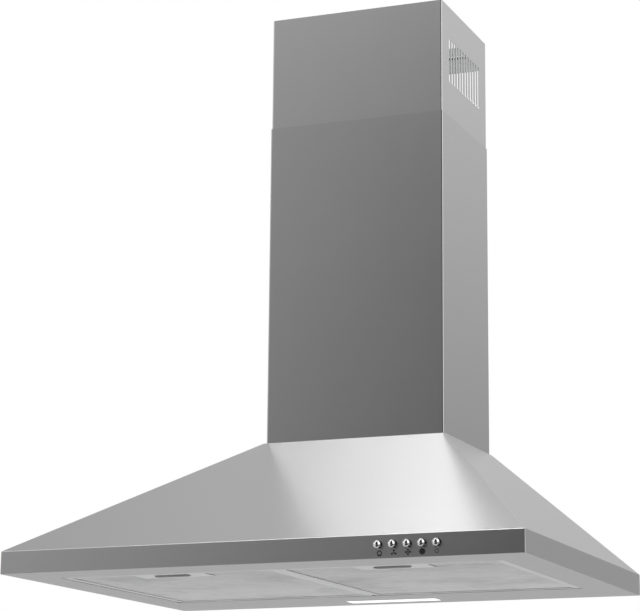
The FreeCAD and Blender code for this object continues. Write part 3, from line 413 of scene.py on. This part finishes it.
greyPlastic = mouldedPlastic("greyPlastic", {"colour": (0.13, 0.135, 0.14), "grain": 800.0,
                                             "contrast": 0.3, "rubSheen": 0.3, "dust": 0.15,
                                             "rubSheenColour": (0.24, 0.24, 0.24), "rough": 0.5,
                                             "bump": 0.3})
whitePlastic = mouldedPlastic("whitePlastic", {"colour": (0.72, 0.72, 0.70), "grain": 900.0,
                                               "contrast": 0.08, "rubSheen": 0.1, "dust": 0.1,
                                               "rubSheenColour": (0.82, 0.82, 0.80), "rough": 0.42,
                                               "bump": 0.15})
bushRubber = mouldedPlastic("bushRubber", {"colour": (0.03, 0.03, 0.03), "grain": 500.0,
                                           "contrast": 0.4, "rubSheen": 0.2, "dust": 0.1,
                                           "rubSheenColour": (0.08, 0.08, 0.08), "rough": 0.75,
                                           "bump": 0.4})
boardGreen = circuitBoard("boardGreen", {"mask": (0.02, 0.12, 0.05), "maskDark": (0.015, 0.09, 0.04),
                                         "track": (0.05, 0.22, 0.10), "stretch": (260, 260, 260)})
lensGlow = litLens("lensGlow", {"colour": (0.85, 0.86, 0.87), "glow": (1.0, 0.99, 0.97),
                                "strength": 0.9, "stretch": (420, 0, 0)})
signInk = printedInk("signInk", {"colour": (0.015, 0.015, 0.016), "thin": (0.05, 0.05, 0.052)})

finishOf = {"canopy_steel": canopySteel, "underside_steel": undersideSteel,
            "chimney_steel": chimneySteel, "zinc_steel": zincSteel,
            "filter_aluminium": filterAluminium, "filter_mesh": filterStrand,
            "latch_plastic": latchPlastic, "button_chrome": buttonChrome,
            "black_plastic": blackPlastic, "white_plastic": whitePlastic, "lamp_lens": lensGlow,
            "board": boardGreen, "grey_plastic": greyPlastic, "spring_steel": springSteel,
            "shaft_steel": shaftSteel, "motor_iron": motorIron, "rubber": bushRubber,
            "bronze": bearingBronze}
for node in cadNodes.values():
    slotName = node.data.materials[0].name.split(".")[0]
    node.data.materials[0] = finishOf[slotName]
cadNodes["upper_chimney"].data.materials[0] = paintedLightUpperSteel   # the same steel in a lighter tone than the lower cover: painted light
print("finishes on", len(cadNodes), "nodes")


# modelling helpers

def clearSelection():
    if bpy.context.mode != "OBJECT":
        bpy.ops.object.mode_set(mode="OBJECT")
    bpy.ops.object.select_all(action="DESELECT")


def editing(on):
    bpy.ops.object.mode_set(mode="EDIT" if on else "OBJECT")


def settle(name, material, body):   # named, at the origin, on its body
    piece = bpy.context.active_object
    bpy.ops.object.transform_apply(location=True, rotation=True, scale=True)
    piece.name = name
    piece.data.name = name
    piece.data.materials.clear()
    piece.data.materials.append(material)
    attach(piece, body)
    return piece


def withModifier(kind, **settings):
    piece = bpy.context.active_object
    modifier = piece.modifiers.new(kind.lower(), kind)
    for key, value in settings.items():
        setattr(modifier, key, value)
    bpy.ops.object.modifier_apply(modifier=modifier.name)


def pickVerts(test):
    piece = bpy.context.active_object
    bpy.ops.mesh.select_mode(type="VERT")
    bpy.ops.mesh.select_all(action="DESELECT")
    editing(False)
    for vert in piece.data.vertices:
        vert.select = test(piece.matrix_world @ vert.co)
    editing(True)


# expanded metal over a folded pack, one for each filter

filterMesh = {"cellLong": 0.006, "cellShort": 0.0032, "strand": 0.0007,
              "sheetLift": 0.0004, "packLift": 0.0016, "pleat": 0.0045, "pleatHeight": 0.0008,
              "margin": 0.0005, "foil": 0.0003, "packRows": 6}


def trimTo(low, high):
    for corner, normal in ((low, (-1, 0, 0)), (high, (1, 0, 0)), (low, (0, -1, 0)), (high, (0, 1, 0))):
        bpy.ops.mesh.select_all(action="SELECT")
        bpy.ops.mesh.bisect(plane_co=corner, plane_no=normal, clear_outer=True)


def makeFilterMesh(side):
    spec = filterMesh
    meshLow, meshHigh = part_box("filter_mesh_" + side)
    margin, sheet = spec["margin"], meshLow.z + spec["sheetLift"]
    low = Vector((meshLow.x + margin, meshLow.y + margin, sheet))
    high = Vector((meshHigh.x - margin, meshHigh.y - margin, sheet))
    centre = (low + high) / 2
    wide, deep = high.x - low.x, high.y - low.y
    count = math.ceil(wide / spec["cellLong"] + deep / spec["cellShort"]) + 2
    step = 0.001   # square cell, before it is turned and stretched
    clearSelection()
    bpy.ops.mesh.primitive_grid_add(x_subdivisions=count, y_subdivisions=count,
                                    size=count * step, location=centre)
    editing(True)
    bpy.ops.transform.rotate(value=math.radians(45), orient_axis="Z", center_override=centre)
    bpy.ops.transform.resize(value=(spec["cellLong"] / step / math.sqrt(2),
                                    spec["cellShort"] / step / math.sqrt(2), 1),
                             center_override=centre)
    trimTo(low, high)
    editing(False)
    withModifier("WIREFRAME", thickness=spec["strand"], use_even_offset=False, use_boundary=True)
    strands = bpy.context.active_object
    clearSelection()
    pleats = 2 * round(wide / spec["pleat"])
    packPlace = Vector((centre.x, centre.y, meshLow.z + spec["packLift"]))
    bpy.ops.mesh.primitive_grid_add(x_subdivisions=pleats, y_subdivisions=spec["packRows"], size=1,
                                    location=packPlace)
    editing(True)
    bpy.ops.transform.resize(value=(wide, deep, 1), center_override=packPlace)
    pickVerts(lambda spot: round((spot.x - low.x) / wide * pleats) % 2 == 1)
    bpy.ops.transform.translate(value=(0, 0, spec["pleatHeight"]))
    editing(False)
    withModifier("SOLIDIFY", thickness=spec["foil"], offset=1)
    strands.select_set(True)
    bpy.context.view_layer.objects.active = strands
    bpy.ops.object.join()
    piece = settle("filterMesh_" + side, filterStrand, side + "_filter")
    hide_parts("filter_mesh_" + side)
    print("filter mesh", side, len(piece.data.polygons), "faces")


for side in ("left", "right"):
    makeFilterMesh(side)


# coil springs wound in place of the latch and button springs

coils = {"wireSides": 8, "turnSteps": 20, "turns": 5, "smoothUpTo": math.radians(40),
         "wire": {"latch": 0.0005, "button": 0.0006}}


def windCoil(low, high, wire):
    middle = (low + high) / 2
    clearSelection()
    bpy.ops.mesh.primitive_circle_add(vertices=coils["wireSides"], radius=wire / 2,
                                      location=(middle.x, low.y + wire / 2, middle.z))
    editing(True)
    bpy.ops.mesh.select_all(action="SELECT")
    bpy.ops.transform.translate(value=((high.x - low.x - wire) / 2, 0, 0))
    editing(False)
    withModifier("SCREW", axis="Y", screw_offset=(high.y - low.y - wire) / coils["turns"],
                 iterations=coils["turns"], steps=coils["turnSteps"], render_steps=coils["turnSteps"])
    editing(True)
    bpy.ops.mesh.select_all(action="SELECT")
    bpy.ops.mesh.fill_holes(sides=0)
    bpy.ops.mesh.normals_make_consistent(inside=False)
    editing(False)
    bpy.ops.object.shade_smooth_by_angle(angle=coils["smoothUpTo"])
    return bpy.context.active_object


def makeCoils(family):
    found = [(joint, bent) for joint in frame["joints"] for bent in joint.get("deforming_nodes", [])
             if bent["node"].startswith(family)]
    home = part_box(found[0][1]["node"])
    pattern = windCoil(*home, coils["wire"][family])
    for joint, bent in found:
        low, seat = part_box(bent["node"])[0], bent["fixed_end_y_m"]
        clearSelection()
        pattern.select_set(True)
        bpy.context.view_layer.objects.active = pattern
        bpy.ops.object.duplicate()
        bpy.ops.transform.translate(value=low - home[0])
        coil = settle(family + "Coil_" + bent["node"].split("_")[-1], springSteel, joint["parent"])
        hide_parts(bent["node"])
        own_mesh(coil)
    clearSelection()
    pattern.select_set(True)
    bpy.ops.object.delete()
    print(family, "springs wound:", len(found))


makeCoils("latch")
makeCoils("button")


# printed signs on the fascia, one below each button

signs = {"names": ("signLamp", "signSlow", "signMiddle", "signFast", "signOff"), "ink": 0.00006,
         "drop": 0.0087, "lead": 0.0005, "bulb": 0.0027, "bulbLine": 0.0011, "foot": 0.0014,
         "bladeOut": 0.0022, "bladeLong": 0.0013, "bladeWide": 0.00105, "hub": 0.0008,
         "bladeTurn": math.radians(25), "ring": 0.0022, "ringLine": 0.0006, "sides": 24, "footAt": 0.7,
         "fans": {"signSlow": (3, 1.0), "signMiddle": (4, 1.0), "signFast": (8, 1.1)}}


def signDisc(centre, radius):   # flat disc that faces the room
    clearSelection()
    bpy.ops.mesh.primitive_circle_add(vertices=signs["sides"], radius=radius, fill_type="NGON",
                                      location=centre, rotation=(math.pi / 2, 0, 0))
    bpy.ops.object.transform_apply(location=True, rotation=True, scale=True)
    editing(True)
    bpy.ops.mesh.select_mode(type="FACE")
    bpy.ops.mesh.select_all(action="SELECT")


def signRing(centre, radius, line):
    signDisc(centre, radius)
    bpy.ops.mesh.inset(thickness=line)
    bpy.ops.mesh.delete(type="FACE")


def signBulb(centre):   # ring cut open below, with two feet
    spec = signs
    signRing(centre, spec["bulb"], spec["bulbLine"])
    bpy.ops.mesh.select_all(action="SELECT")
    cut = Vector(centre) - Vector((0, 0, spec["bulb"] * spec["footAt"]))
    bpy.ops.mesh.bisect(plane_co=cut, plane_no=(0, 0, 1), clear_inner=True)
    bpy.ops.mesh.extrude_region_move(TRANSFORM_OT_translate={"value": (0, 0, -spec["foot"])})
    editing(False)


def signFan(centre, blades, fat):
    spec = signs
    bladeAt = Vector(centre) + Vector((0, 0, spec["bladeOut"]))
    signDisc(bladeAt, spec["bladeWide"] * fat)
    bpy.ops.transform.resize(value=(1, 1, spec["bladeLong"] / spec["bladeWide"]), center_override=bladeAt)
    bpy.ops.transform.rotate(value=spec["bladeTurn"], orient_axis="Y", center_override=bladeAt)
    bpy.ops.mesh.spin(steps=blades - 1, dupli=True, angle=math.tau * (blades - 1) / blades,
                      center=centre, axis=(0, 1, 0))
    editing(False)
    fan = bpy.context.active_object
    signDisc(centre, spec["hub"] * fat)
    editing(False)
    fan.select_set(True)
    bpy.context.view_layer.objects.active = fan
    bpy.ops.object.join()


def makeSigns():
    spec = signs
    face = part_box("canopy_shell")[0].y
    for number, name in enumerate(spec["names"]):
        low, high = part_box("button_%d" % (number + 1))
        # the print runs a little closer than the buttons
        lean = spec["lead"] * (len(spec["names"]) - 1 - number)
        centre = ((low.x + high.x) / 2 + lean, face, (low.z + high.z) / 2 - spec["drop"])
        if name == "signLamp":
            signBulb(centre)
        elif name == "signOff":
            signRing(centre, spec["ring"], spec["ringLine"])
            editing(False)
        else:
            signFan(centre, *spec["fans"][name])
        withModifier("SOLIDIFY", thickness=spec["ink"], offset=1)
        settle(name, signInk, "hood")
    print("signs printed below", len(spec["names"]), "buttons")


makeSigns()


# camera, floor and studio light

shot = {"lens": 126.086, "yaw": 20.028, "pitch": 12.969, "roll": 0.023,
        "place": (0.9533, -2.6127, -0.4025), "shiftX": -0.1328, "sensor": 36.0, "near": 0.05, "far": 60.0}


def viewWay():
    yaw, pitch = math.radians(shot["yaw"]), math.radians(shot["pitch"])
    return Vector((-math.sin(yaw) * math.cos(pitch), math.cos(yaw) * math.cos(pitch), math.sin(pitch)))


def makeCamera():
    yaw, roll = math.radians(shot["yaw"]), math.radians(shot["roll"])
    ahead = viewWay()
    right = Vector((math.cos(yaw), math.sin(yaw), 0))
    up = right.cross(ahead)
    tiltedRight = right * math.cos(roll) + up * math.sin(roll)
    tiltedUp = up * math.cos(roll) - right * math.sin(roll)
    bpy.ops.object.camera_add()
    camera = bpy.context.active_object
    camera.name = "photoCamera"
    axes = Matrix((tiltedRight, tiltedUp, -ahead)).transposed()
    camera.matrix_world = Matrix.Translation(shot["place"]) @ axes.to_4x4()
    camera.data.lens = shot["lens"]
    camera.data.sensor_width = shot["sensor"]
    camera.data.shift_x = shot["shiftX"]
    camera.data.clip_start = shot["near"]
    camera.data.clip_end = shot["far"]
    bpy.context.scene.camera = camera


floorLook = {"height": -0.95, "radius": 6.0, "sides": 96, "colour": (0.63, 0.63, 0.63), "rough": 0.8}


def makeFloor():
    clearSelection()
    bpy.ops.mesh.primitive_circle_add(vertices=floorLook["sides"], radius=floorLook["radius"],
                                      fill_type="NGON", location=(0, 0, floorLook["height"]))
    floor = bpy.context.active_object
    floor.name = "paleFloor"
    material = bpy.data.materials.new("paleFloor")
    material.use_nodes = True
    skin = material.node_tree.nodes["Principled BSDF"]
    skin.inputs["Base Color"].default_value = (*floorLook["colour"], 1)
    skin.inputs["Roughness"].default_value = floorLook["rough"]
    floor.data.materials.append(material)


flag = {"low": (-0.4, -4.5), "high": (3.0, -0.7), "lift": 0.01, "colour": (0.01, 0.01, 0.01), "rough": 0.9}


def makeFlag():   # black card below the front, for the chrome to mirror
    clearSelection()
    middle = [(low + high) / 2 for low, high in zip(flag["low"], flag["high"])]
    bpy.ops.mesh.primitive_plane_add(size=1, location=(*middle, floorLook["height"] + flag["lift"]))
    card = bpy.context.active_object
    card.name = "blackCard"
    card.scale = (flag["high"][0] - flag["low"][0], flag["high"][1] - flag["low"][1], 1)
    card.visible_camera = False   # only mirrored, it throws no shadow on the floor
    card.visible_diffuse = False
    card.visible_transmission = False
    card.visible_shadow = False
    material = bpy.data.materials.new("blackCard")
    material.use_nodes = True
    skin = material.node_tree.nodes["Principled BSDF"]
    skin.inputs["Base Color"].default_value = (*flag["colour"], 1)
    skin.inputs["Roughness"].default_value = flag["rough"]
    card.data.materials.append(material)


studio = {"frontBase": -1.03, "frontSide": -3.2, "frontRise": 0.84, "frontLow": 0.02, "frontHigh": 1.2,
          "frontDip": 0.5, "rightFill": 1.2, "backdropCos": (0.9900, 0.9976),
          "gapMiddle": 0.1, "gapDepth": 0.95, "zenith": 0.8,
          "backSteps": ((-1, 0.55), (-0.1, 0.58), (0.06, 0.47), (0.14, 0.47), (0.3, 0.61),
                        (0.66, 0.66), (1, 0.7)), "sideGlow": 0.34, "backTilt": 2.0, "tiltMiddle": 0.42,
          "dipZ": (0.04, 0.16), "glowZ": (0.1, 0.4), "glowX": (-0.05, 0.4), "tiltZ": (0.4, 0.65),
          "tiltMost": 1.8, "backY": (-0.6, 0.1), "besideX": (0.62, 0.82), "besideZ": (-0.15, 0.05),
          "aboveX": (0.44, 0.62), "aboveZ": (0.35, 0.6), "fillY": (0.1, 0.45), "gapAside": (0.1, 0.28),
          "gapZ": (0.25, 0.45), "gapY": (0.05, 0.3), "zenithZ": (0.82, 0.92), "zenithX": (-0.28, -0.12),
          "zenithY": (0.25, 0.4),
          "boxPlace": (-1.36, -4.0, 4.63), "boxAim": (0, -0.3, 0.1), "boxSize": 2.0, "boxPower": 90.0}


def makeStudio():
    world = bpy.data.worlds.new("studio")
    bpy.context.scene.world = world
    world.use_nodes = True
    tree = world.node_tree
    tree.nodes.clear()
    output = put(tree, "ShaderNodeOutputWorld")
    coords = put(tree, "ShaderNodeTexCoord")
    way = put(tree, "ShaderNodeSeparateXYZ")
    tree.links.new(coords.outputs["Generated"], way.inputs[0])
    front = maths(tree, "ADD", maths(tree, "MULTIPLY", way.outputs["X"], studio["frontSide"]),
                  maths(tree, "MULTIPLY", way.outputs["Z"], studio["frontRise"]))
    front = maths(tree, "ADD", front, studio["frontBase"])
    front = maths(tree, "MINIMUM", maths(tree, "MAXIMUM", front, studio["frontLow"]), studio["frontHigh"])
    front = maths(tree, "MULTIPLY", front,
                  remap(tree, way.outputs["Z"], *studio["dipZ"], studio["frontDip"], 1.0))
    glow = maths(tree, "MULTIPLY", remap(tree, way.outputs["Z"], *studio["glowZ"], 0.0, studio["sideGlow"]),
                 remap(tree, way.outputs["X"], *studio["glowX"], 0.0, 1.0))
    rise = put(tree, "ShaderNodeValToRGB")
    while len(rise.color_ramp.elements) < len(studio["backSteps"]):
        rise.color_ramp.elements.new(0.5)
    for stop, (height, light) in zip(rise.color_ramp.elements, studio["backSteps"]):
        stop.position = (height + 1) / 2
        stop.color = (light, light, light, 1)
    tree.links.new(maths(tree, "MULTIPLY_ADD", way.outputs["Z"], 0.5), rise.inputs[0])
    tilt = maths(tree, "MULTIPLY", maths(tree, "ADD", way.outputs["X"], studio["tiltMiddle"]),
                 remap(tree, way.outputs["Z"], *studio["tiltZ"], 0.0, studio["backTilt"]))
    tilt = maths(tree, "MINIMUM", maths(tree, "ADD", tilt, 1.0), studio["tiltMost"])
    back = maths(tree, "ADD", glow, maths(tree, "MULTIPLY", rise.outputs[0], tilt))
    toBack = remap(tree, way.outputs["Y"], *studio["backY"], 0.0, 1.0)
    level = maths(tree, "ADD", maths(tree, "MULTIPLY", front, maths(tree, "SUBTRACT", 1.0, toBack)),
                  maths(tree, "MULTIPLY", back, toBack))
    beside = maths(tree, "MULTIPLY", remap(tree, way.outputs["X"], *studio["besideX"], 0.0, 1.0),
                   remap(tree, way.outputs["Z"], *studio["besideZ"], 0.0, 1.0))
    above = maths(tree, "MULTIPLY", remap(tree, way.outputs["X"], *studio["aboveX"], 0.0, 1.0),
                  remap(tree, way.outputs["Z"], *studio["aboveZ"], 0.0, 1.0))
    fill = maths(tree, "MULTIPLY", maths(tree, "MAXIMUM", beside, above), studio["rightFill"])
    fill = maths(tree, "MULTIPLY", fill, remap(tree, way.outputs["Y"], *studio["fillY"], 1.0, 0.0))
    # a dark gap overhead between the left and the right light, for the domed buttons
    aside = maths(tree, "ABSOLUTE", maths(tree, "SUBTRACT", way.outputs["X"], studio["gapMiddle"]))
    gap = maths(tree, "MULTIPLY", remap(tree, aside, *studio["gapAside"], studio["gapDepth"], 0.0),
                remap(tree, way.outputs["Z"], *studio["gapZ"], 0.0, 1.0))
    gap = maths(tree, "MULTIPLY", gap, remap(tree, way.outputs["Y"], *studio["gapY"], 1.0, 0.0))
    level = maths(tree, "MULTIPLY", level, maths(tree, "SUBTRACT", 1.0, gap))
    zenith = maths(tree, "MULTIPLY",
                   remap(tree, way.outputs["Z"], *studio["zenithZ"], 0.0, studio["zenith"]),
                   remap(tree, way.outputs["X"], *studio["zenithX"], 1.0, 0.0))
    zenith = maths(tree, "MULTIPLY", zenith, remap(tree, way.outputs["Y"], *studio["zenithY"], 1.0, 0.0))
    level = maths(tree, "ADD", maths(tree, "ADD", level, fill), zenith)
    room = put(tree, "ShaderNodeBackground")
    tree.links.new(level, room.inputs["Strength"])
    white = put(tree, "ShaderNodeBackground")
    white.inputs["Color"].default_value = (1, 1, 1, 1)
    room.inputs["Color"].default_value = (1, 1, 1, 1)
    # metal and the lens mirror the white backdrop too, where it stands behind the hood
    facing = put(tree, "ShaderNodeVectorMath", operation="DOT_PRODUCT")
    tree.links.new(coords.outputs["Generated"], facing.inputs[0])
    facing.inputs[1].default_value = viewWay()
    rays = put(tree, "ShaderNodeLightPath")
    mirrored = maths(tree, "MAXIMUM", rays.outputs["Is Glossy Ray"], rays.outputs["Is Transmission Ray"])
    mirrored = maths(tree, "MULTIPLY", mirrored,
                     remap(tree, facing.outputs["Value"], *studio["backdropCos"], 0.0, 1.0))
    mix = put(tree, "ShaderNodeMixShader")
    tree.links.new(maths(tree, "MAXIMUM", rays.outputs["Is Camera Ray"], mirrored), mix.inputs[0])
    tree.links.new(room.outputs[0], mix.inputs[1])
    tree.links.new(white.outputs[0], mix.inputs[2])
    tree.links.new(mix.outputs[0], output.inputs[0])
    bpy.ops.object.light_add(type="AREA", location=studio["boxPlace"])
    lamp = bpy.context.active_object
    lamp.name = "softBox"
    lamp.data.shape = "SQUARE"
    lamp.data.size = studio["boxSize"]
    lamp.data.energy = studio["boxPower"]
    aim = Vector(studio["boxAim"]) - Vector(studio["boxPlace"])
    lamp.rotation_euler = aim.to_track_quat("-Z", "Y").to_euler()
    spared = bpy.data.collections.new("boxSpares")   # the buttons mirror the dark gap, not the soft box
    for number in range(len(signs["names"])):
        spared.objects.link(cadNodes["button_%d" % (number + 1)])
    for entry in spared.collection_objects:
        entry.light_linking.link_state = "EXCLUDE"
    lamp.light_linking.receiver_collection = spared


clearSelection()
makeFloor()
makeFlag()
makeCamera()
makeStudio()
bpy.context.scene.view_settings.view_transform = "Standard"
print("camera, floor and light are in place")
